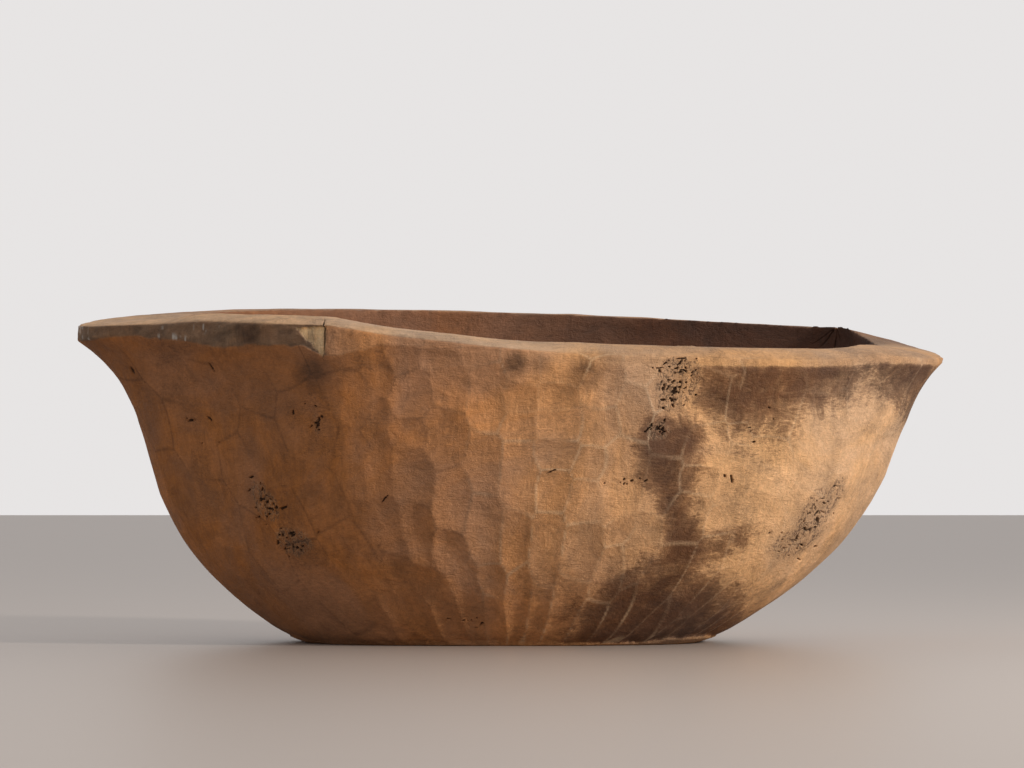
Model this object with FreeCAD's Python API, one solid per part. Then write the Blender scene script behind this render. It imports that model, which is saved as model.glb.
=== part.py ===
"""A trough-like bowl carved from one log, with a lug at each end of its rim, and the small
wooden wedge that fills the mouth of a drying check in the rim.

Millimetres. +X runs to the right lug, +Y to the far side, +Z up. The origin is the middle of
the footprint, on the surface that the bowl stands on.
"""

import FreeCAD, Part
import math
import os

Vector = FreeCAD.Vector

# Plan outlines of the rim, each anticlockwise from the right end.
OUTER_RIM = [
    (434, -6), (418, -58), (376, -118), (308, -174), (196, -213), (50, -230), (-92, -228),
    (-188, -206), (-264, -162), (-346, -106), (-412, -54), (-434, -6), (-424, 40), (-378, 102),
    (-302, 172), (-200, 216), (-70, 234), (80, 235), (222, 224), (326, 190), (388, 126),
    (422, 56),
]
INNER_RIM = [
    (369, -20), (364, -60), (340, -100), (300, -132), (240, -160), (120, -186), (-30, -190),
    (-150, -176), (-228, -136), (-296, -80), (-330, -8), (-320, 66), (-268, 132), (-170, 178),
    (-30, 198), (120, 200), (236, 189), (300, 172), (334, 148), (349, 118), (357, 76), (366, 26),
]

# The foot and the floor of the hollow are ovals: half length, half width, squareness, shift.
BASE = (205.0, 118.0, 2.6, -8.0)
FLOOR = (180.0, 96.0, 2.5, 0.0)
FLOOR_HEIGHT = 38.0

# Height of the rim along X on the long axis. The whole rim also climbs to the far side.
RIM_HEIGHT = [
    (-434, 320), (-380, 322), (-320, 322.5), (-201, 321), (-138, 319.4), (-11, 315.4),
    (95, 311.7), (201, 307.5), (304, 302.5), (350, 301), (381, 297), (414, 290.8), (434, 287),
]
RIM_SLOPE_Y = 0.118

# A shoulder on the near side, highest at the corner left of the middle.
SHOULDER = [
    (-434, 4), (-380, 5.5), (-345, 6), (-320, 9), (-295, 12), (-230, 14), (-175, 15.5),
    (-150, 13.5), (-125, 10), (-95, 7), (-60, 5), (-10, 1.5), (50, 0), (256, 0), (355, 1),
    (434, 1),
]
SHOULDER_WIDTH = 110.0

# How far the near outer edge is worn below the rim's height, and the inner edge stands above.
NEAR_EDGE_DROP = [
    (-434, 2), (-330, 3), (-250, 4.5), (0, 4.5), (60, 7), (300, 7), (370, 3.5), (434, 2),
]
FAR_EDGE_DROP = 1.0
INNER_EDGE_LIFT = [(-434, 2), (310, 2), (345, 4.5), (358, 2), (370, -2.5), (434, -2.5)]

# Height of the rim's upright outer edge.
NEAR_EDGE_DEPTH = [
    (-434, 18), (-400, 13), (-366, 13.5), (-310, 22), (-275, 27), (-235, 22), (-200, 22),
    (-175, 30), (-150, 24), (-125, 14), (-100, 10), (0, 10), (360, 12), (434, 7),
]
FAR_EDGE_DEPTH = [(-434, 18), (-380, 14), (0, 12), (360, 11), (434, 7)]

# Walls: roundness of the belly and share of the outward flare, at each end and on the sides.
OUTER_BELLY = {"left": 3.25, "right": 2.7, "side": 3.0}
OUTER_FLARE = {"left": 0.3, "right": 0.18, "side": 0.1}
FLARE_POWER = 7
INNER_BELLY = {"left": 3.6, "right": 3.4, "side": 3.2}
THINNEST_WALL = 27.0
WALL_BLEND = 10.0

COLUMNS = 96  # upright sections of each wall surface
OUTER_LEVELS = [0.0, 0.05, 0.11, 0.18, 0.27, 0.38, 0.5, 0.62, 0.74, 0.85, 0.93, 1.0]
INNER_LEVELS = [1.0, 0.9, 0.78, 0.64, 0.5, 0.37, 0.25, 0.15, 0.07, 0.0]

# The drying check in the far right corner of the rim, and the wedge in its mouth.
CHECK_POINT = Vector(338.0, 143.0, 0.0)
CHECK_BEARING = 42.0  # degrees from +X, the way the check runs out through the rim
CHECK_MOUTH = 4.0
CHECK_SLIT = 0.9
WEDGE_DEPTH = 12.0
CHECK_DEPTH = 27.0
CHECK_LENGTH = 80.0
WEDGE_LENGTH = 22.0
ABOVE_RIM = 30.0


def along_table(table, x):
    """A smooth curve through the table's points, level beyond its ends."""
    if x <= table[0][0]:
        return table[0][1]
    if x >= table[-1][0]:
        return table[-1][1]
    k = next(i for i in range(len(table) - 1) if x <= table[i + 1][0])
    (x0, y0), (x1, y1) = table[k], table[k + 1]
    before, after = table[max(0, k - 1)], table[min(len(table) - 1, k + 2)]
    slope0 = (y1 - before[1]) / (x1 - before[0]) * (x1 - x0)
    slope1 = (after[1] - y0) / (after[0] - x0) * (x1 - x0)
    t = (x - x0) / (x1 - x0)
    rise = (2 * t**3 - 3 * t**2) * (y0 - y1) + y0
    return rise + (t**3 - 2 * t**2 + t) * slope0 + (t**3 - t**2) * slope1


def ease(t):
    t = min(1.0, max(0.0, t))
    return t * t * (3 - 2 * t)


def oval(half_length, half_width, squareness, shift_x, count=32):
    points = []
    for k in range(count):
        turn = 2 * math.pi * k / count
        c = math.cos(turn)
        s = math.sin(turn)
        x = math.copysign(abs(c) ** (2 / squareness), c) * half_length + shift_x
        y = math.copysign(abs(s) ** (2 / squareness), s) * half_width
        points.append((x, y))
    return points


def outline_samples(points, count=2880):
    """Angle and radius of each sample of the smooth closed curve through the points."""
    curve = Part.BSplineCurve()
    curve.interpolate(Points=[Vector(x, y, 0) for x, y in points], PeriodicFlag=True)
    first, last = curve.FirstParameter, curve.LastParameter
    samples = []
    for k in range(count):
        p = curve.value(first + (last - first) * k / count)
        samples.append((math.atan2(p.y, p.x) % (2 * math.pi), math.hypot(p.x, p.y)))
    samples.sort()
    return samples


def radius_at(samples, angle):
    """The outline's radius in one direction, between its two nearest samples."""
    angle %= 2 * math.pi
    after = next((k for k, s in enumerate(samples) if s[0] > angle), 0)
    a0, r0 = samples[after - 1]
    a1, r1 = samples[after]
    share = ((angle - a0) % (2 * math.pi)) / ((a1 - a0) % (2 * math.pi))
    return r0 + (r1 - r0) * share


def column_angles():
    """Directions that space the columns evenly round an oval twice as long as it is wide."""
    turns = [2 * math.pi * k / COLUMNS for k in range(COLUMNS)]
    return [math.atan2(math.sin(t), 2 * math.cos(t)) for t in turns]


def by_direction(values, angle):
    """Blends the values for the two ends and the sides."""
    end = math.cos(angle) ** 4
    name = "right" if math.cos(angle) > 0 else "left"
    return end * values[name] + (1 - end) * values["side"]


def near_share(y, width):
    return ease((width / 2 - y) / width)


def rim_height(x, y):
    shoulder = along_table(SHOULDER, x) * ease(-y / SHOULDER_WIDTH)
    return along_table(RIM_HEIGHT, x) + RIM_SLOPE_Y * y + shoulder


def edge_drop(x, y):
    near = near_share(y, 120)
    return near * along_table(NEAR_EDGE_DROP, x) + (1 - near) * FAR_EDGE_DROP


def edge_depth(x, y):
    near = near_share(y, 60)
    return near * along_table(NEAR_EDGE_DEPTH, x) + (1 - near) * along_table(FAR_EDGE_DEPTH, x)


def outer_share(level, angle):
    """How far out the wall lies between foot and rim: a full belly, then a flare."""
    flare = by_direction(OUTER_FLARE, angle)
    belly = 1 - (1 - level) ** by_direction(OUTER_BELLY, angle)
    return (1 - flare) * belly + flare * level**FLARE_POWER


def inner_share(level, angle):
    return 1 - (1 - level) ** by_direction(INNER_BELLY, angle)


def closed_curve(row):
    """The smooth closed curve through one level's points, one unit of parameter per column."""
    curve = Part.BSplineCurve()
    turns = [float(k) for k in range(COLUMNS + 1)]
    curve.interpolate(Points=row, PeriodicFlag=True, Parameters=turns)
    return curve


def upright_curve(points):
    curve = Part.BSplineCurve()
    if len(points) == 2:
        curve.buildFromPolesMultsKnots(points, [2, 2], [0.0, 1.0], False, 1)
    else:
        curve.interpolate(Points=points, Parameters=[float(k) for k in range(len(points))])
    return curve


def skin(rows):
    """The surface that passes through rows of points, each row a closed level."""
    rounds = [closed_curve(row) for row in rows]
    uprights = [upright_curve(list(poles)) for poles in zip(*[c.getPoles() for c in rounds])]
    surface = Part.BSplineSurface()
    surface.buildFromPolesMultsKnots(
        [curve.getPoles() for curve in uprights],
        rounds[0].getMultiplicities(),
        uprights[0].getMultiplicities(),
        rounds[0].getKnots(),
        uprights[0].getKnots(),
        True,
        False,
        rounds[0].Degree,
        uprights[0].Degree,
    )
    return surface.toShape()


def level_cap(row):
    """The flat face that closes a level row."""
    return Part.Face(Part.Wire([closed_curve(row).toShape()]))


def polar(angle, radius, z):
    return Vector(radius * math.cos(angle), radius * math.sin(angle), z)


def smaller_of(a, b, blend):
    """The smaller of two numbers, eased where they are within the blend of each other."""
    near = max(0.0, blend - abs(a - b)) / blend
    return min(a, b) - near * near * blend / 4


def carve_log():
    """The whole bowl as one solid: foot, outer wall, rim edge, rim top, inner wall and floor."""
    angles = column_angles()
    rim_out = outline_samples(OUTER_RIM)
    rim_in = outline_samples(INNER_RIM)
    base = outline_samples(oval(*BASE))
    floor = outline_samples(oval(*FLOOR))

    outer_top = [polar(a, radius_at(rim_out, a), 0) for a in angles]
    inner_top = [polar(a, radius_at(rim_in, a), 0) for a in angles]
    crown = [p + (q - p) * 0.45 for p, q in zip(outer_top, inner_top)]
    for p in outer_top:
        p.z = rim_height(p.x, p.y) - edge_drop(p.x, p.y)
    for p in inner_top:
        p.z = rim_height(p.x, p.y) + along_table(INNER_EDGE_LIFT, p.x)
    for p in crown:
        p.z = rim_height(p.x, p.y) + 1
    outer_edge = [p - Vector(0, 0, edge_depth(p.x, p.y)) for p in outer_top]

    foot_radius = [radius_at(base, a) for a in angles]
    floor_radius = [radius_at(floor, a) for a in angles]

    def outer_point(k, level):
        top = outer_edge[k]
        share = outer_share(level, angles[k])
        radius = foot_radius[k] + (math.hypot(top.x, top.y) - foot_radius[k]) * share
        return polar(angles[k], radius, top.z * level)

    def inner_point(k, level):
        top = inner_top[k]
        rim_radius = math.hypot(top.x, top.y)
        share = inner_share(level, angles[k])
        radius = floor_radius[k] + (rim_radius - floor_radius[k]) * share
        z = FLOOR_HEIGHT + (top.z - FLOOR_HEIGHT) * level
        outside = outer_point(k, min(1.0, z / outer_edge[k].z))
        wall = THINNEST_WALL * (1 + 0.6 * (1 - level) ** 2)
        if 0 < level < 1:
            radius = smaller_of(radius, math.hypot(outside.x, outside.y) - wall, WALL_BLEND)
        return polar(angles[k], radius, z)

    columns = range(COLUMNS)
    outer = [[outer_point(k, level) for k in columns] for level in OUTER_LEVELS]
    inner = [[inner_point(k, level) for k in columns] for level in INNER_LEVELS]
    faces = [
        level_cap(outer[0]),
        skin(outer),
        skin([outer[-1], outer_top]),
        skin([outer_top, crown, inner[0]]),
        skin(inner),
        level_cap(inner[-1]),
    ]
    shell = Part.makeShell(faces)
    shell.sewShape()
    solid = Part.makeSolid(shell)
    if solid.Volume < 0:
        solid.reverse()
    return solid


def along_check(profile, length, rim_z):
    """A prism that runs along the check, its cross-section given as (width, height) points."""
    bearing = math.radians(CHECK_BEARING)
    along = Vector(math.cos(bearing), math.sin(bearing), 0)
    across = Vector(-along.y, along.x, 0)
    start = CHECK_POINT - along * (CHECK_LENGTH / 4)
    start.z = rim_z
    corners = [start + across * w + Vector(0, 0, z) for w, z in profile]
    face = Part.Face(Part.makePolygon(corners + corners[:1]))
    return face.extrude(along * length)


def split_check(log):
    """Cuts the drying check into the rim and returns the bowl and the wedge in its mouth."""
    rim_z = rim_height(CHECK_POINT.x, CHECK_POINT.y)
    wide = CHECK_MOUTH / 2
    slit = CHECK_SLIT / 2
    top = wide + (wide - slit) * ABOVE_RIM / WEDGE_DEPTH
    low = -WEDGE_DEPTH
    mouth = [(-slit, low), (slit, low), (top, ABOVE_RIM), (-top, ABOVE_RIM)]
    below = [(0, -CHECK_DEPTH), (slit, low), (-slit, low)]
    gap = along_check(mouth, CHECK_LENGTH, rim_z).fuse(along_check(below, CHECK_LENGTH, rim_z))
    wedge = along_check(mouth, CHECK_LENGTH / 4 + WEDGE_LENGTH, rim_z).common(log)
    return log.cut(gap), wedge


def largest_solid(shape):
    return max(shape.Solids, key=lambda s: s.Volume)


def main():
    os.makedirs("parts", exist_ok=True)
    bowl, wedge = split_check(carve_log())
    for name, shape in (("bowl_body", bowl), ("rim_check_wedge", wedge)):
        solid = largest_solid(shape)
        box = solid.BoundBox
        print(name, "valid", solid.isValid(), "solids", len(shape.Solids), box)
        solid.exportStep("parts/%s.step" % name)


main()
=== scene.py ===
"""The looks of a bowl carved from one log: adze facets, weathered rim, stains, checks and holes."""

import math
import random
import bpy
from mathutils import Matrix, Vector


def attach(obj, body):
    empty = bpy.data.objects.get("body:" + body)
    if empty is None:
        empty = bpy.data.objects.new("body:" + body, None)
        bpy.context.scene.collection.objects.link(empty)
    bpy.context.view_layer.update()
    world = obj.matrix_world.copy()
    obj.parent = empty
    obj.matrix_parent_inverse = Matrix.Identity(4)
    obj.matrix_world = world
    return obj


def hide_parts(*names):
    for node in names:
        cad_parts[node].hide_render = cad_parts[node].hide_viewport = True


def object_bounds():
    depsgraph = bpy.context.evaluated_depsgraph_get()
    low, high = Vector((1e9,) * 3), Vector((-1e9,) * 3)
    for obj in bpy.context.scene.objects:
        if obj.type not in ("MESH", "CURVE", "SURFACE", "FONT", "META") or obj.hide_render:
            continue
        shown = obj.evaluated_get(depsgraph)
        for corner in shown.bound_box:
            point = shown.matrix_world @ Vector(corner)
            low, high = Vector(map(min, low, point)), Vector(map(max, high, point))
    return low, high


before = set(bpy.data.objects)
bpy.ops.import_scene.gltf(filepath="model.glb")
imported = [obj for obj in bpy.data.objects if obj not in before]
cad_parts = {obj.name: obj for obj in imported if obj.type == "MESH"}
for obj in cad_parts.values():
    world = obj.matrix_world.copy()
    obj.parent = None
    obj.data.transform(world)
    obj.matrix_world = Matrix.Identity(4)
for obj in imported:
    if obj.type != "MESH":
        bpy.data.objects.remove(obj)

from types import SimpleNamespace

import bmesh
import bpy
import numpy as np
from mathutils import Vector

CAD_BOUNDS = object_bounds()
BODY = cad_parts["bowl_body"]
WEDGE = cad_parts["rim_check_wedge"]
MM = 0.001

VOXEL = 2.1 * MM
WEDGE_VOXEL = 0.6 * MM
# How far the rim is worn down round the wedge (mm).
WEDGE_WEAR = 3.2
RANDOM = random.Random(41)

# The log's pith ran along X about this high, and its growth rings are this far apart (m).
PITH_HEIGHT = 0.36
RING_SPACING = 0.0034

# Palette, as sRGB.
PALETTE = {
    # Painted shade: the wood is coloured darker towards the left end, which lies in shade.
    "left": (162, 105, 58),
    "middle": (186, 130, 84),
    "right": (212, 166, 120),
    # Painted shade: darker near the foot, where the wall turns under away from the light.
    "low": (128, 84, 50),
    "band": (122, 98, 76),
    "top": (198, 158, 120),
    "top_far": (170, 128, 94),
    "ochre": (184, 138, 94),
    "sawn": (158, 122, 90),
    # Fresh torn wood, made paler still as painted light where the chip sits in shade under the lip.
    "torn": (255, 214, 158),
    "inner_left": (152, 102, 68),
    # Painted shade and stain: the hollow's right end and the far right rim top are darker where
    # they lie in shade.
    "inner_shade_and_stain": (84, 51, 33),
    "stain": (88, 54, 33),
    # Dark colour of the weathered band, growth rings, smudges and scratches, and painted shade in
    # pits and along facet edges.
    "dark_wood_and_shade": (58, 38, 26),
    # Pale colour of the facet edges on the lit side, a painted highlight.
    "worn": (226, 190, 150),
    "paint": (214, 208, 198),
}
# Painted shade inside the insect holes and cracks.
HOLE_COLOUR = (0.040, 0.021, 0.012, 1.0)
FLOOR_COLOUR = (0.41, 0.345, 0.30)
# The soft room's light from in front of the bowl and from behind it.
ROOM_FRONT = (0.36, 0.36, 0.37, 1.0)
ROOM_BACK = (0.80, 0.78, 0.775, 1.0)

# The camera's place (m), and how far above its own height it looks at the bowl's middle (m).
CAMERA_SIDE = 0.0015
CAMERA_AWAY = 3.6
CAMERA_HEIGHT = 0.141
CAMERA_RISE = 0.116
# Lens and sensor (mm).
LENS = 126.6
SENSOR = 36.0

# Height of the rim's weathered upright edge along X on the near side, and on the far side (mm).
BAND_NEAR = [(-434, 18), (-400, 13), (-366, 13.5), (-310, 22), (-275, 27), (-235, 22), (-200, 22),
             (-175, 30), (-150, 24), (-125, 14), (-100, 9), (-40, 5), (0, 0), (434, 0)]
BAND_FAR = 11.0

# The torn chip in the near rim: a triangle in X and Z (mm), and the crack beside it.
CHIP = [(-207, 306), (-172, 306), (-177.5, 273)]
CHIP_CRACK = ((-176.5, 309), (-177.5, 274))
# The finely meshed square round them: X, Z, half size (mm).
CHIP_SQUARE = (-187, 292, 24)

# The drying check in the far right corner of the hollow: where it meets the rim, and its bearing.
CHECK_AT = (338.0, 143.0)
CHECK_BEARING = math.radians(42)
CHECK_TOP = 321
# Its cracks down the hollow: lean, length and width (mm).
CHECK_CRACKS = [(0.0, 30, 1.1), (0.9, 24, 0.6), (-0.55, 18, 0.5), (1.7, 20, 0.5)]

# How deep the damage goes (mm).
CHIP_DEPTH = 2.4
CRACK_DEPTH = 2.2
HOLE_DEPTH = 2.4
CHECK_DEPTH = 1.6

# Half length and half depth of the ring round the wall that tool marks are placed along (mm).
WALL_RING = (420, 235)
# Tool marks: width of a column, shortest and tallest mark (mm), lean and seed.
SMALL_MARKS = (37, (17, 60), 0.0, 3)
LARGE_MARKS = (60, (36, 90), 0.3, 8)
INNER_MARKS = (62, (26, 44), 0.25, 21)
# Columns of marks start and end well past the wall's foot and rim (mm up the wall).
MARKS_START, MARKS_END = -330, 430

# Only points above this height belong to the rim (mm), which is read in this many steps.
RIM_ZONE = 230
RIM_STEPS = 240

# Clusters of insect holes on the near side: X, Z, half width, half height (mm), lean, count.
HOLE_CLUSTERS = [
    (158, 250, 19, 25, 0.2, 56), (138, 206, 11, 9, 0.0, 16), (110, 158, 15, 5, 0.0, 10),
    (-238, 140, 12, 18, -0.4, 24), (-208, 100, 15, 13, -0.5, 20), (298, 132, 16, 26, 0.7, 34),
    (276, 100, 20, 16, 0.8, 26), (-38, 21, 20, 5, 0.0, 9), (-186, 212, 5, 14, 0.0, 8),
    (226, 196, 30, 40, 0.0, 8), (-300, 208, 12, 14, 0.0, 6),
]
# Lower edge of the large stain below the right-hand rim, Z along X (mm).
STAIN_EDGE = [(150, 268), (185, 214), (215, 190), (250, 196), (290, 216), (330, 238), (352, 250),
              (375, 226), (400, 212), (434, 236)]
# Dark smudges on the near side: X, Z, radius (mm).
SMUDGES = [(4, 269, 19), (30, 269, 14), (-190, 258, 24), (-250, 300, 20), (70, 258, 22)]
# The dark knot in the rim's upright edge: X, Z (mm).
KNOT = (-262, 292)
# Single slots: X, Z, length, width, lean in degrees.
SLOTS = [(-374, 267, 9, 3.4, -60), (-289, 268, 9, 2.2, -50), (-208, 224, 5, 2.0, 80),
         (-196, 232, 4, 1.8, 30), (-120, 141, 10, 1.6, 50), (40, 168, 12, 1.6, 20)]


def clamp01(a):
    return np.clip(a, 0.0, 1.0)


def ease(low, high, a):
    t = clamp01((a - low) / (high - low))
    return t * t * (3 - 2 * t)


def lattice(ix, iy, iz, seed):
    h = (ix * 374761393 + iy * 668265263 + iz * 1440662683 + seed * 974634777) & 0xFFFFFFFF
    h = ((h ^ (h >> 13)) * 1274126177) & 0xFFFFFFFF
    h = ((h ^ (h >> 16)) * 2246822519) & 0xFFFFFFFF
    return (h ^ (h >> 15)) / 2147483648.0 - 1.0


def noise(p, size, seed):
    """Smooth noise from -1 to 1; size is the spacing in mm, one number or one per axis."""
    q = p / np.asarray(size, float)
    cell = np.floor(q).astype(np.int64)
    f = q - cell
    w = f * f * (3 - 2 * f)
    total = np.zeros(len(p))
    for dx in (0, 1):
        for dy in (0, 1):
            for dz in (0, 1):
                weight = (
                    (w[:, 0] if dx else 1 - w[:, 0])
                    * (w[:, 1] if dy else 1 - w[:, 1])
                    * (w[:, 2] if dz else 1 - w[:, 2])
                )
                total += weight * lattice(cell[:, 0] + dx, cell[:, 1] + dy, cell[:, 2] + dz, seed)
    return total


def layered(p, size, seed, layers=3):
    size = np.asarray(size, float)
    total = np.zeros(len(p))
    for k in range(layers):
        total += noise(p + 17.3 * k, size / 2**k, seed + k) / 2**k
    return total / (2 - 0.5 ** (layers - 1))


def table(points, x):
    xs, ys = zip(*points)
    return np.interp(x, xs, ys)


def linear(name):
    out = []
    for c in PALETTE[name]:
        c /= 255.0
        out.append(c / 12.92 if c <= 0.04045 else ((c + 0.055) / 1.055) ** 2.4)
    return np.array(out)


def arrays(mesh):
    co = np.empty(len(mesh.vertices) * 3)
    no = np.empty(len(mesh.vertices) * 3)
    mesh.vertices.foreach_get("co", co)
    mesh.vertices.foreach_get("normal", no)
    return co.reshape(-1, 3) / MM, no.reshape(-1, 3)


def fine_copy(node, voxel, name):
    """A dense, evenly meshed copy of the CAD node, with its sharp edges eased."""
    bm = bmesh.new()
    bm.from_mesh(node.data)
    bmesh.ops.remove_doubles(bm, verts=bm.verts, dist=1e-6)
    joined = bpy.data.meshes.new(name + "_joined")
    bm.to_mesh(joined)
    bm.free()
    source = bpy.data.objects.new(name + "_source", joined)
    bpy.context.scene.collection.objects.link(source)
    remesh = source.modifiers.new("Even", "REMESH")
    remesh.mode = "VOXEL"
    remesh.voxel_size = voxel
    smooth = source.modifiers.new("Ease", "SMOOTH")
    smooth.factor = 0.5
    smooth.iterations = 3
    graph = bpy.context.evaluated_depsgraph_get()
    mesh = bpy.data.meshes.new_from_object(source.evaluated_get(graph))
    mesh.name = name
    bpy.data.objects.remove(source)
    fine = bpy.data.objects.new(name, mesh)
    bpy.context.scene.collection.objects.link(fine)
    return fine


def refine(mesh, wanted, times):
    """Splits the faces whose middle is wanted, so that small features have enough points."""
    for _ in range(times):
        centres = np.empty(len(mesh.polygons) * 3)
        mesh.polygons.foreach_get("center", centres)
        chosen = np.flatnonzero(wanted(centres.reshape(-1, 3) / MM))
        bm = bmesh.new()
        bm.from_mesh(mesh)
        bm.faces.ensure_lookup_table()
        edges = {e for k in chosen.tolist() for e in bm.faces[k].edges}
        bmesh.ops.subdivide_edges(bm, edges=list(edges), cuts=1, use_grid_fill=True)
        bm.to_mesh(mesh)
        bm.free()
    mesh.update()


def smoothed(mesh, values, times):
    """Values averaged with their neighbours' along the mesh's edges."""
    ends = np.empty(len(mesh.edges) * 2, np.int32)
    mesh.edges.foreach_get("vertices", ends)
    first, second = ends.reshape(-1, 2).T
    size = len(values)
    count = np.bincount(first, minlength=size) + np.bincount(second, minlength=size)
    for _ in range(times):
        columns = []
        for column in values.T:
            total = np.bincount(first, column[second], size)
            total += np.bincount(second, column[first], size)
            columns.append(0.5 * column + 0.5 * total / np.maximum(count, 1))
        values = np.stack(columns, 1)
    return values


def near_feature(p):
    front = p[:, 1] < -60
    hit = np.zeros(len(p), bool)
    for x, z, half_x, half_z, lean, _ in HOLE_CLUSTERS:
        dx, dz = p[:, 0] - x - lean * (p[:, 2] - z), p[:, 2] - z
        hit |= front & ((dx / (half_x * 1.4 + 4)) ** 2 + (dz / (half_z * 1.4 + 4)) ** 2 < 1)
    for x, z, length, _, _ in SLOTS:
        hit |= front & (np.hypot(p[:, 0] - x, p[:, 2] - z) < length)
    x, z, half = CHIP_SQUARE
    hit |= front & (np.abs(p[:, 0] - x) < half) & (np.abs(p[:, 2] - z) < half)
    hit |= (np.hypot(p[:, 0] - CHECK_AT[0], p[:, 1] - CHECK_AT[1]) < 30) & (p[:, 2] > 280)
    return hit


def wall_places(p):
    """Distance round the wall and up the wall, in mm, for every point."""
    turn = np.arctan2(2 * p[:, 1], p[:, 0])
    steps = np.linspace(-math.pi, math.pi, 361)
    long, deep = WALL_RING
    reach = 1 / np.sqrt((np.cos(steps) / long) ** 2 + (np.sin(steps) / (2 * deep)) ** 2)
    ring = np.stack([reach * np.cos(steps), reach * np.sin(steps) / 2], 1)
    lengths = np.concatenate([[0], np.cumsum(np.linalg.norm(np.diff(ring, axis=0), axis=1))])
    round_wall = np.interp(turn, steps, lengths)
    radius = np.hypot(p[:, 0], 2 * p[:, 1]) / 2
    return round_wall, p[:, 2] - 0.55 * radius, lengths[-1]


def scoops(u, v, around, column, rows, lean, seed):
    """Hollow tool marks in staggered columns, each cut to its own depth and roundness.

    Gives each point's height between the bottom of its mark (about -1) and the ridge (0), the
    distance to the nearest ridge in mm, and a number from -1 to 1 that is the mark's own.
    """
    rng = random.Random(seed)
    count = max(3, round(around / column))
    width = around / count
    u = u + lean * v
    best = np.full(len(u), 9.0)
    second = np.full(len(u), 9.0)
    tone = np.zeros(len(u))
    for k in range(count):
        middle = (k + 0.5) * width
        offset = (u - middle + around / 2) % around - around / 2
        close = np.flatnonzero(np.abs(offset) < 1.5 * width)
        side, level = offset[close], v[close]
        low, next_low, own = best[close], second[close], tone[close]
        mark = MARKS_START + rng.uniform(0, rows[1])
        while mark < MARKS_END:
            tall = rng.uniform(*rows)
            broad = 0.62 * width * rng.uniform(0.85, 1.2)
            away = ((side - rng.gauss(0, 0.1) * width) / broad) ** 2
            away += ((level - mark - tall / 2) / (0.66 * tall)) ** 2
            height = away - 1 - rng.uniform(0, 0.45)
            height += rng.gauss(0, 0.34) * side / broad
            height += rng.gauss(0, 0.22) * (level - mark - tall / 2) / tall
            new = height < low
            next_low = np.where(new, low, np.minimum(next_low, height))
            own = np.where(new, rng.uniform(-1, 1), own)
            low = np.where(new, height, low)
            mark += tall
        best[close], second[close], tone[close] = low, next_low, own
    return np.clip(best, -1.7, 0.0), (second - best) * width * 0.2, tone


def triangle_inside(x, z, corners):
    """Distance inside a triangle's nearest side, in mm; below zero outside."""
    inside = np.full(len(x), 1e9)
    area = 0.0
    for (x0, z0), (x1, z1) in zip(corners, corners[1:] + corners[:1]):
        area += x0 * z1 - x1 * z0
    for (x0, z0), (x1, z1) in zip(corners, corners[1:] + corners[:1]):
        long = math.hypot(x1 - x0, z1 - z0)
        side = ((x1 - x0) * (z - z0) - (z1 - z0) * (x - x0)) / long
        inside = np.minimum(inside, side if area > 0 else -side)
    return inside


def hole_list():
    """Insect holes as slots: X, Z, length, width, lean in degrees."""
    holes = list(SLOTS)
    for x, z, half_x, half_z, lean, count in HOLE_CLUSTERS:
        for _ in range(count):
            dz = RANDOM.gauss(0, 0.6) * half_z
            dx = RANDOM.gauss(0, 0.6) * half_x + lean * dz
            width = RANDOM.uniform(0.8, 1.7) * RANDOM.choice((1.0, 1.0, 1.7))
            length = width * RANDOM.choice((1.2, 1.6, 2.2, 3.0))
            holes.append((x + dx, z + dz, length, width, RANDOM.gauss(35, 40)))
    return holes


def dig_holes(p, front):
    """How much of a hole each point is, from 0 to 1."""
    depth = np.zeros(len(p))
    wobble = 0.7 * noise(p, 1.9, 7)
    for x, z, length, width, lean in hole_list():
        close = np.flatnonzero((np.abs(p[:, 0] - x) < length) & (np.abs(p[:, 2] - z) < length))
        a = math.radians(lean)
        dx, dz = p[close, 0] - x, p[close, 2] - z
        along = (dx * math.cos(a) + dz * math.sin(a)) * width / length
        across = dz * math.cos(a) - dx * math.sin(a)
        d = np.hypot(along, across) + wobble[close]
        depth[close] = np.maximum(depth[close], 1 - ease(0.3 * width, 0.62 * width, d))
    return depth * front


def cluster_field(p):
    """How deep inside a cluster of insect holes each point is, from 0 to 1."""
    field = np.zeros(len(p))
    for x, z, half_x, half_z, lean, count in HOLE_CLUSTERS:
        dz = p[:, 2] - z
        reach = np.hypot((p[:, 0] - x - lean * dz) / half_x, dz / half_z)
        field = np.maximum(field, min(1.0, count / 20) * ease(1.9, 0.5, reach))
    return field


def rim_height(w, chosen):
    """Height of the highest chosen point in the same step round the wall, for every point."""
    where = np.minimum((w.u / w.around * RIM_STEPS).astype(int), RIM_STEPS - 1)
    line = np.full(RIM_STEPS, -1e9)
    np.maximum.at(line, where, np.where(chosen, w.z, -1e9))
    centre = (np.arange(RIM_STEPS) + 0.5) / RIM_STEPS * w.around
    return np.interp(w.u, centre, line, period=w.around)


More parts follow.
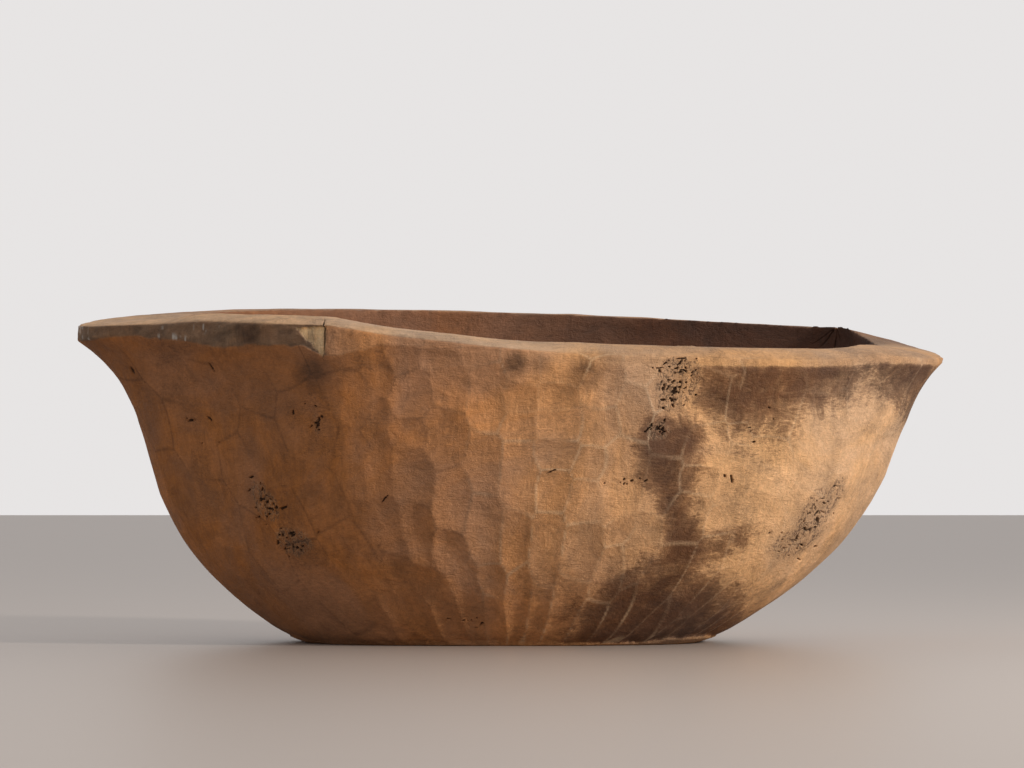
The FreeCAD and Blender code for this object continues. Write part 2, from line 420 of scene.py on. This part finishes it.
def find_regions(mesh):
    """Which part of the bowl each point is on: rim top, outside, hollow, and upright rim edge."""
    p, n = arrays(mesh)
    n = smoothed(mesh, n, 5)
    n /= np.linalg.norm(n, axis=1)[:, None] + 1e-9
    w = SimpleNamespace(p=p, n=n)
    w.x, w.y, w.z = p.T
    outward = np.stack([w.x, w.y], 1) / (np.hypot(w.x, w.y)[:, None] + 1e-6)
    facing = (n[:, :2] * outward).sum(1)
    w.top = ease(0.62, 0.86, n[:, 2]) * (w.z > RIM_ZONE)
    base = (n[:, 2] < -0.8) & (w.z < 6)
    outer = ease(-0.05, 0.25, facing - 0.6 * np.maximum(n[:, 2], 0)) * (1 - w.top)
    w.outer = np.where(n[:, 2] < -0.3, 1.0, outer) * ~base
    w.inner = (1 - w.outer) * (1 - w.top) * ~base
    w.front = ease(-0.05, 0.3, -n[:, 1]) * (w.y < -40)
    w.u, w.v, w.around = wall_places(p)
    w.below = rim_height(w, w.outer > 0.6) - w.z
    w.below_inside = rim_height(w, w.inner > 0.5) - w.z
    w.near = ease(30, -30, w.y)
    depth = w.near * table(BAND_NEAR, w.x) + (1 - w.near) * BAND_FAR
    edge = depth + 4.5 * layered(p, (24, 24, 40), 5) - w.below
    w.band = w.outer * ease(-1.2, 1.2, edge) * (depth > 1.5)
    return w


def make_tool_marks(w):
    """Crisp columns at the middle of the near side, larger and softer marks elsewhere."""
    small_low, small_ridge, small_tone = scoops(w.u, w.v, w.around, *SMALL_MARKS)
    large_low, large_ridge, large_tone = scoops(w.u, w.v, w.around, *LARGE_MARKS)
    crisp = ease(-170, -90, w.x) * ease(330, 120, w.x) * ease(0, -60, w.y)
    crisp = clamp01(crisp + 0.25 * layered(w.p, 90, 9))
    small = ease(0.35, 0.65, crisp)
    soften = 0.55 + 0.45 * ease(-0.5, 0.4, layered(w.p, 70, 12))
    w.low = small_low * small + large_low * (1 - small)
    w.ridge = np.where(crisp > 0.5, small_ridge, large_ridge)
    w.tone = small_tone * small + large_tone * (1 - small)
    w.depth = (1.4 + 1.6 * small) * soften
    marks = scoops(w.u * 0.8, w.z, w.around * 0.8, *INNER_MARKS)
    w.inner_low, w.inner_ridge, w.inner_tone = marks


def make_damage(w):
    """The torn chip and its crack, the insect holes, and the check in the hollow's corner."""
    x, y, z, p = w.x, w.y, w.z, w.p
    chip_depth = triangle_inside(x, z, CHIP) + 3.0 * layered(p, (6, 6, 9), 65)
    w.chip = ease(0, 3.0, chip_depth) * (y < -150) * w.outer * (1 - 0.7 * w.top)
    w.torn = noise(p, (1.7, 9, 14), 61)
    (x0, z0), (x1, z1) = CHIP_CRACK
    crack_x = np.interp(z, [z1, z0], [x1, x0]) + 0.7 * noise(p, 7, 63)
    w.chip_crack = (1 - ease(0.3, 1.2, np.abs(x - crack_x))) * (y < -150) * (1 - w.inner)
    w.chip_crack *= ease(z1 - 3, z1 + 3, z) * ease(z0 + 8, z0, z)
    w.holes = dig_holes(p, w.front) * w.outer

    # The longest crack runs straight down from the wedge, and three shorter ones lean beside it.
    dx, dy = x - CHECK_AT[0], y - CHECK_AT[1]
    away = dx * -math.sin(CHECK_BEARING) + dy * math.cos(CHECK_BEARING)
    along = dx * math.cos(CHECK_BEARING) + dy * math.sin(CHECK_BEARING)
    drop = CHECK_TOP - z
    wander = 0.9 * noise(p, 9, 71)
    w.check = np.zeros(len(p))
    for lean, reach, width in CHECK_CRACKS:
        line = np.abs(away + wander - lean * np.maximum(drop, 0))
        one = (1 - ease(0.35 * width, 1.2 * width + 0.3, line)) * ease(reach, reach * 0.6, drop)
        w.check = np.maximum(w.check, one)
    w.check *= (np.abs(along) < 26) * (z > 270)


def carve(mesh, w):
    """Moves the points inward by the tool marks, the wear and the damage, in mm."""
    p, wall = w.p, w.outer * (1 - w.band)
    move = wall * w.depth * w.low
    move += wall * (0.8 * layered(p, 48, 31) - 0.6)
    move += w.outer * 0.10 * layered(p, (9, 9, 3), 33)
    move += w.inner * ease(1, 22, w.below_inside) * (0.8 * w.inner_low - 0.1)
    rough_edge = 1.3 * layered(p, (20, 20, 9), 41) + 0.6 * layered(p, (4, 4, 12), 43)
    move -= w.band * (1.9 + rough_edge)
    rough_top = 0.8 * layered(p, (60, 24, 24), 51) + 0.16 * layered(p, (24, 4, 4), 53)
    move += w.top * (-0.9 + rough_top)
    move -= w.chip * (CHIP_DEPTH + 1.5 * w.torn)
    move -= CRACK_DEPTH * w.chip_crack
    move -= HOLE_DEPTH * w.holes
    move -= CHECK_DEPTH * w.check * (1 - w.outer)

    q = p + w.n * move[:, None]
    q[:, 2] -= w.top * (1.3 + 1.2 * layered(p, 80, 81))
    # The foot's edge is rounded under.
    tuck = 1 - 0.05 * clamp01((15 - w.z) / 15) ** 2.4 * (1 + 0.5 * layered(p, 45, 83))
    q[:, :2] *= tuck[:, None]
    # The rim's corners are worn round.
    corner = smoothed(mesh, (w.top > 0.5).astype(float)[:, None], 4)
    corner = clamp01(5 * corner * (1 - corner)) * (w.z > RIM_ZONE)[:, None]
    q = q * (1 - corner) + smoothed(mesh, q, 14) * corner
    q = np.clip(q, np.array(CAD_BOUNDS[0]) / MM, np.array(CAD_BOUNDS[1]) / MM)
    mesh.vertices.foreach_set("co", (q * MM).ravel())
    mesh.update()


def stain_amount(w):
    """The stain below the right-hand rim, the streak down from it, and the one by the foot."""
    x, z, p = w.x, w.z, w.p
    sides = np.minimum((x - 168) / 46, (432 - x) / 24)
    upper = np.minimum(sides, (z - table(STAIN_EDGE, x)) / 42) * 0.5 + 0.5
    upper = clamp01(upper) * ease(4, 12, w.below)
    streak_x = 160 - 0.16 * (z - 130) + 14 * noise(p, 45, 141)
    streak = 0.95 * ease(66, 6, np.abs(x - streak_x)) * ease(262, 190, z)
    streak = streak * (0.9 + 0.35 * noise(p, 34, 143))
    width = 78 + 0.5 * (60 - z)
    foot = clamp01(0.5 + (width - np.abs(x - 148)) / 90)
    foot = foot * ease(132, 40, z + 16 * noise(p, 40, 145))
    arm = 0.64 * ease(36, 6, np.abs(z - 96 - 0.25 * (x - 190)))
    arm = arm * ease(110, 180, x) * ease(275, 220, x)
    stain = np.maximum(np.maximum(upper, arm), np.maximum(streak, 0.95 * foot))
    return stain * (w.y < 60) * w.outer


def paint(mesh, w):
    """Stores the wood's colour, painted shade and light included, and the fields that its material
    reads.
    """
    x, y, z, p = w.x, w.y, w.z, w.p
    patch = layered(p, 110, 101)
    fine = layered(p, 30, 103)
    mottle = layered(p, (14, 14, 7), 137)
    right = ease(-60, 250, x + 60 * patch)
    sawn = w.band * ease(-178, -172, x + 3 * noise(p, 6, 135))
    speck = ease(0.42, 0.6, noise(p, (3, 3, 7), 111)) * ease(0.1, 0.5, noise(p, 24, 113))
    lip = w.near * clamp01(w.top + ease(15, 7, w.below))
    layers = [
        # Painted shade: darker towards the left end.
        ("left", ease(60, -220, x + 50 * patch)),
        ("right", right),
        # Painted shade: darker towards the foot.
        ("low", ease(80, 5, z + 30 * patch) * (0.1 + 0.5 * ease(0, 120, x))),
        ("inner_left", w.inner),
        # Painted shade and stain: the hollow darkens towards its right end.
        ("inner_shade_and_stain", w.inner * ease(-150, 200, x + 60 * fine)),
        ("top", w.top),
        ("top_far", w.top * ease(20, 120, y)),
        # Painted shade: the rim top at the far right corner is darker where it lies in shade.
        ("inner_shade_and_stain", w.top * ease(230, 310, x) * ease(-20, 50, y) * 0.6),
        ("ochre", ease(0, 120, x) * lip * (0.75 + 0.4 * fine)),
        ("band", w.band * (0.85 + 0.3 * fine)),
        ("sawn", w.band * ease(0.15, 0.6, mottle) * 0.8),
        ("dark_wood_and_shade", w.band * ease(0.1, 0.5, -mottle) * 0.4),
        ("middle", sawn),
        ("paint", w.band * speck * ease(-250, -300, x) * 0.8),
        # Paler torn wood in the chip, partly painted light.
        ("torn", w.chip * (0.8 + 0.35 * w.torn)),
    ]
    colour = np.outer(np.ones(len(p)), linear("middle"))
    for name, amount in layers:
        a = clamp01(amount)[:, None]
        colour = colour * (1 - a) + linear(name) * a
    wall = w.outer * (1 - w.band)
    colour *= (1 + wall * 0.09 * w.tone + w.inner * 0.08 * w.inner_tone)[:, None]

    # Facet edges: painted shade on the left-hand side and in the hollow, painted highlight on the
    # lit right-hand side.
    broken = ease(-0.35, 0.45, noise(p, 34, 131))
    seam = (1 - ease(0.3, 1.7, w.ridge)) * wall * (0.2 + 0.8 * broken)
    inner_seam = (1 - ease(0.3, 2.2, w.inner_ridge)) * w.inner * 0.4
    lit_side = ease(-60, 60, x + 30 * fine)
    smudges = np.zeros(len(p))
    for sx, sz, radius in SMUDGES:
        spot = ease(radius, 0.2 * radius, np.hypot(x - sx, z - sz))
        smudges = np.maximum(smudges, spot)
    # Painted shade in the holes, the check and the chip's crack; the knot's dark is its own colour.
    dark = clamp01(np.maximum(np.maximum(w.holes, 0.9 * w.check), 0.9 * w.chip_crack))
    knot = ease(20, 6, np.hypot((x - KNOT[0]) * 0.7, z - KNOT[1])) * w.band
    fields = {
        "stain": stain_amount(w),
        "dark": clamp01(dark + 0.5 * knot * ease(0.0, 0.5, noise(p, 3, 121))),
        "smudge": smudges * (y < -60) * w.outer,
        "eroded": cluster_field(p) * (y < -40) * w.outer,
        # Painted shade and painted highlight along the facet edges.
        "seam": clamp01(seam * (1 - lit_side) + inner_seam),
        "facet_edge_highlight": clamp01(seam * lit_side * (1 - 0.6 * right)),
        "rings": (0.35 + 0.65 * w.outer) * (1 - w.band) * (1 - 0.6 * w.top),
    }
    opaque = np.column_stack([clamp01(colour), np.ones(len(p))])
    attribute = mesh.attributes.new("tone", "FLOAT_COLOR", "POINT")
    attribute.data.foreach_set("color", opaque.ravel())
    for name, values in fields.items():
        mesh.attributes.new(name, "FLOAT", "POINT").data.foreach_set("value", values)
    mesh.shade_smooth()


def wear_down(wedge):
    """Lowers the wedge's top to the worn rim round it and keeps its foot where it is."""
    p, _ = arrays(wedge.data)
    foot, head = p[:, 2].min(), p[:, 2].max()
    p[:, 2] = foot + (p[:, 2] - foot) * (1 - WEDGE_WEAR / (head - foot))
    wedge.data.vertices.foreach_set("co", (p * MM).ravel())
    wedge.data.update()
    wedge.data.shade_smooth()


class Nodes:
    """Short calls for building a node material."""

    def __init__(self, name):
        self.material = bpy.data.materials.new(name)
        self.material.use_nodes = True
        self.tree = self.material.node_tree
        self.tree.nodes.clear()

    def add(self, kind, **settings):
        node = self.tree.nodes.new(kind)
        for key, value in settings.items():
            setattr(node, key, value)
        return node

    def join(self, source, target):
        self.tree.links.new(source, target)

    def feed(self, socket, value):
        if isinstance(value, bpy.types.NodeSocket):
            self.join(value, socket)
        else:
            socket.default_value = value

    def field(self, name, output="Fac"):
        return self.add("ShaderNodeAttribute", attribute_name=name).outputs[output]

    def math(self, operation, a, b=0.0):
        node = self.add("ShaderNodeMath", operation=operation)
        self.feed(node.inputs[0], a)
        self.feed(node.inputs[1], b)
        return node.outputs[0]

    def times(self, a, b):
        return self.math("MULTIPLY", a, b)

    def plus(self, total, *terms):
        for term in terms:
            total = self.math("ADD", total, term)
        return total

    def swing(self, noise, amount):
        """How far the noise is from its middle, times the amount."""
        return self.times(self.math("SUBTRACT", noise, 0.5), amount)

    def scaled(self, vector, scale, turn=(0.0, 0.0, 0.0)):
        node = self.add("ShaderNodeMapping")
        self.join(vector, node.inputs["Vector"])
        node.inputs["Rotation"].default_value = turn
        node.inputs["Scale"].default_value = scale
        return node.outputs[0]

    def noise(self, vector, scale, detail, roughness, distortion=0.0):
        node = self.add("ShaderNodeTexNoise")
        self.join(vector, node.inputs["Vector"])
        node.inputs["Scale"].default_value = scale
        node.inputs["Detail"].default_value = detail
        node.inputs["Roughness"].default_value = roughness
        node.inputs["Distortion"].default_value = distortion
        return node.outputs[0]

    def span(self, value, low, high, to_low=0.0, to_high=1.0):
        node = self.add("ShaderNodeMapRange", interpolation_type="SMOOTHSTEP")
        self.join(value, node.inputs["Value"])
        node.inputs["From Min"].default_value = low
        node.inputs["From Max"].default_value = high
        node.inputs["To Min"].default_value = to_low
        node.inputs["To Max"].default_value = to_high
        return node.outputs[0]

    def mix(self, amount, a, b):
        node = self.add("ShaderNodeMix", data_type="RGBA")
        self.feed(node.inputs["Factor"], amount)
        self.feed(node.inputs[6], a)
        self.feed(node.inputs[7], b)
        return node.outputs[2]


def rgba(name):
    return (*[float(c) for c in linear(name)], 1.0)


def add_stains(m, colour, here, ragged):
    flecks = m.noise(m.scaled(here, (60.0, 60.0, 260.0), (0.0, 0.5, 0.0)), 2.2, 5.0, 0.7, 0.8)
    level = m.plus(m.field("stain"), m.swing(ragged, 1.5), m.swing(flecks, 0.75))
    amount = m.times(m.span(level, 0.40, 0.72), m.span(level, 0.62, 1.05, 0.68, 0.93))
    return m.mix(amount, colour, rgba("stain"))


def add_rings(m, colour, here, blotch):
    """Growth rings: cylinders round the pith, cut by the surface wherever it lies."""
    apart = m.add("ShaderNodeSeparateXYZ")
    m.join(here, apart.inputs[0])
    across = apart.outputs[1]
    rise = m.math("SUBTRACT", apart.outputs[2], PITH_HEIGHT)
    pith = m.math("SQRT", m.plus(m.times(across, across), m.times(rise, rise)))
    bend = m.times(m.noise(m.scaled(here, (0.5, 1.0, 1.0)), 7.0, 2.0, 0.5), 0.05)
    ring = m.math("SINE", m.times(m.plus(pith, bend), 2 * math.pi / RING_SPACING))
    lines = m.times(m.span(ring, -0.2, 1.0), m.field("rings"))
    lines = m.times(lines, m.span(blotch, 0.42, 0.62, 0.0, 1.0))
    return m.mix(m.times(lines, 0.07), colour, rgba("dark_wood_and_shade"))


def add_erosion(m, colour, here, blotch):
    """Wood riddled by insects: a darker patch with pale rims, and pits darkened with painted shade.
    Gives the pits too.
    """
    worn = m.span(m.plus(m.field("eroded"), m.swing(blotch, 2.0)), 0.45, 0.8)
    colour = m.mix(m.times(worn, 0.22), colour, rgba("stain"))
    tunnels = m.noise(m.scaled(here, (1.0, 1.0, 0.6), (0.0, 0.6, 0.0)), 190.0, 3.0, 0.6, 2.0)
    pits = m.times(m.span(tunnels, 0.53, 0.59), worn)
    rims = m.times(m.span(tunnels, 0.44, 0.50), worn)
    colour = m.mix(m.times(rims, 0.35), colour, rgba("top"))
    # The pits' dark is painted shade.
    return m.mix(m.times(pits, 0.62), colour, rgba("dark_wood_and_shade")), pits


def carved_wood(name, plain=None):
    """Dry adzed wood. With plain, one palette colour stands for the stored ones."""
    m = Nodes(name)
    here = m.add("ShaderNodeTexCoord").outputs["Object"]
    grain_a = m.noise(m.scaled(here, (3.0, 22.0, 40.0), (0.0, 0.12, 0.0)), 14.0, 5.0, 0.6, 0.4)
    grain_b = m.noise(m.scaled(here, (10.0, 60.0, 60.0), (0.0, -0.2, 0.0)), 16.0, 3.0, 0.5)
    strokes = m.noise(m.scaled(here, (16.0, 16.0, 2.6), (0.0, 0.08, 0.0)), 13.0, 5.0, 0.66, 0.6)
    speckle = m.noise(here, 900.0, 2.0, 0.6)
    blotch = m.noise(here, 24.0, 8.0, 0.72, 0.6)
    clouds = m.noise(here, 7.0, 5.0, 0.62, 0.8)
    pitting = m.noise(m.scaled(here, (0.7, 1.0, 1.0)), 150.0, 6.0, 0.7, 0.8)
    if plain:
        colour = rgba(plain)
        height = grain_b
    else:
        ragged = m.noise(m.scaled(here, (1.0, 1.0, 1.25), (0.0, 0.3, 0.0)), 24.0, 9.0, 0.74, 1.0)
        colour = add_stains(m, m.field("tone", "Color"), here, ragged)
        colour = add_rings(m, colour, here, blotch)
        smudge = m.times(m.field("smudge"), m.span(ragged, 0.35, 0.62, 0.4, 0.8))
        colour = m.mix(smudge, colour, rgba("dark_wood_and_shade"))
        colour, pits = add_erosion(m, colour, here, blotch)
        # Painted shade darkens the facet edges, and a painted highlight pales them on the lit side.
        colour = m.mix(m.times(m.field("seam"), 0.36), colour, rgba("dark_wood_and_shade"))
        colour = m.mix(m.times(m.field("facet_edge_highlight"), 0.6), colour, rgba("worn"))
        height = m.math("SUBTRACT", grain_b, m.times(pits, 2.5))

    # Tool strokes show in some patches and the grain in the others.
    fibres = m.times(m.span(strokes, 0.3, 0.7, -0.16, 0.16), m.span(clouds, 0.45, 0.6, 0.15, 1.0))
    along = m.times(m.span(grain_a, 0.3, 0.7, -0.08, 0.08), m.span(clouds, 0.4, 0.55, 1.0, 0.2))
    shade = m.plus(fibres, along)
    for texture, amount in ((blotch, 0.22), (pitting, 0.07), (clouds, 0.10), (speckle, 0.07)):
        shade = m.plus(shade, m.span(texture, 0.3, 0.7, -amount, amount))
    value = m.add("ShaderNodeHueSaturation")
    m.feed(value.inputs["Color"], colour)
    m.join(m.plus(shade, 1.0), value.inputs["Value"])
    m.join(m.span(clouds, 0.3, 0.7, 0.89, 1.04), value.inputs["Saturation"])

    line_noise = m.noise(m.scaled(here, (9.0, 30.0, 120.0), (0.0, 0.5, 0.0)), 6.0, 4.0, 0.7, 1.2)
    from_line = m.math("ABSOLUTE", m.math("SUBTRACT", line_noise, 0.5))
    scratched = m.span(m.noise(here, 15.0, 3.0, 0.6), 0.52, 0.62)
    scratch = m.times(m.span(from_line, 0.0, 0.022, 1.0, 0.0), scratched)
    colour = m.mix(m.times(scratch, 0.55), value.outputs[0], rgba("dark_wood_and_shade"))
    if not plain:
        # Painted shade fills the holes and cracks.
        colour = m.mix(m.span(m.field("dark"), 0.25, 0.9, 0.0, 0.86), colour, HOLE_COLOUR)

    bump = m.add("ShaderNodeBump")
    bump.inputs["Strength"].default_value = 0.7
    bump.inputs["Distance"].default_value = 1.0 * MM
    rough = m.plus(m.plus(height, strokes), m.times(speckle, 0.3))
    rough = m.plus(rough, m.times(pitting, 3.0), m.times(blotch, 4.0))
    m.join(m.math("SUBTRACT", rough, m.times(scratch, 0.5)), bump.inputs["Height"])
    shader = m.add("ShaderNodeBsdfPrincipled")
    m.feed(shader.inputs["Base Color"], colour)
    m.join(m.span(blotch, 0.3, 0.7, 0.66, 0.84), shader.inputs["Roughness"])
    shader.inputs["Specular IOR Level"].default_value = 0.32
    m.join(bump.outputs[0], shader.inputs["Normal"])
    out = m.add("ShaderNodeOutputMaterial")
    m.join(shader.outputs[0], out.inputs["Surface"])
    return m.material


def flat_material(name, colour, roughness):
    m = Nodes(name)
    shader = m.add("ShaderNodeBsdfPrincipled")
    shader.inputs["Base Color"].default_value = (*colour, 1.0)
    shader.inputs["Roughness"].default_value = roughness
    out = m.add("ShaderNodeOutputMaterial")
    m.join(shader.outputs[0], out.inputs["Surface"])
    return m.material


def dress(obj, material):
    obj.data.materials.clear()
    obj.data.materials.append(material)


def area_light(name, place, target, size, power, colour):
    data = bpy.data.lights.new(name, "AREA")
    data.shape = "DISK"
    data.size = size
    data.energy = power
    data.color = colour
    light = bpy.data.objects.new(name, data)
    light.location = place
    light.rotation_mode = "QUATERNION"
    light.rotation_quaternion = (Vector(target) - Vector(place)).to_track_quat("-Z", "Y")
    bpy.context.scene.collection.objects.link(light)


def set_stage():
    bpy.ops.mesh.primitive_plane_add(size=60.0, location=(0.0, 0.0, 0.0))
    floor = bpy.context.object
    floor.name = "floor"
    dress(floor, flat_material("pale_floor", FLOOR_COLOUR, 0.42))
    world = bpy.data.worlds.new("soft_room")
    world.use_nodes = True
    background = world.node_tree.nodes["Background"]
    background.inputs["Strength"].default_value = 1.0
    nodes, links = world.node_tree.nodes, world.node_tree.links
    direction = nodes.new("ShaderNodeTexCoord").outputs["Generated"]
    apart = nodes.new("ShaderNodeSeparateXYZ")
    links.new(direction, apart.inputs[0])
    ramp = nodes.new("ShaderNodeMapRange")
    links.new(apart.outputs[1], ramp.inputs["Value"])
    ramp.inputs["From Min"].default_value = -0.6
    ramp.inputs["From Max"].default_value = 0.8
    blend = nodes.new("ShaderNodeMix")
    blend.data_type = "RGBA"
    links.new(ramp.outputs[0], blend.inputs["Factor"])
    blend.inputs[6].default_value = ROOM_FRONT
    blend.inputs[7].default_value = ROOM_BACK
    links.new(blend.outputs[2], background.inputs["Color"])
    bpy.context.scene.world = world
    area_light("key", (2.7, -1.5, 1.3), (0.0, 0.0, 0.2), 0.35, 78.0, (1.0, 0.96, 0.9))
    area_light("fill", (0.2, -2.6, 1.8), (0.0, 0.0, 0.15), 2.0, 8.0, (1.0, 0.98, 0.95))
    bpy.context.scene.view_settings.view_transform = "Standard"


def set_camera():
    """A long lens, low and level with the belly, tipped up a little."""
    data = bpy.data.cameras.new("camera")
    data.lens = LENS
    data.sensor_width = SENSOR
    data.clip_end = 100.0
    camera = bpy.data.objects.new("camera", data)
    camera.location = (CAMERA_SIDE, -CAMERA_AWAY, CAMERA_HEIGHT)
    camera.rotation_euler = (math.pi / 2 + math.atan(CAMERA_RISE / CAMERA_AWAY), 0.0, 0.0)
    bpy.context.scene.collection.objects.link(camera)
    bpy.context.scene.camera = camera


bowl = fine_copy(BODY, VOXEL, "carved_bowl")
refine(bowl.data, near_feature, 2)
regions = find_regions(bowl.data)
make_tool_marks(regions)
make_damage(regions)
carve(bowl.data, regions)
paint(bowl.data, regions)
dress(bowl, carved_wood("carved_wood"))
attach(bowl, "root")
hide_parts("bowl_body")
wedge = fine_copy(WEDGE, WEDGE_VOXEL, "worn_wedge")
wear_down(wedge)
# The wedge takes the hollow's darker right-end colour, which is painted shade and stain.
dress(wedge, carved_wood("wedge_wood", "inner_shade_and_stain"))
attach(wedge, "root")
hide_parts("rim_check_wedge")
set_stage()
set_camera()
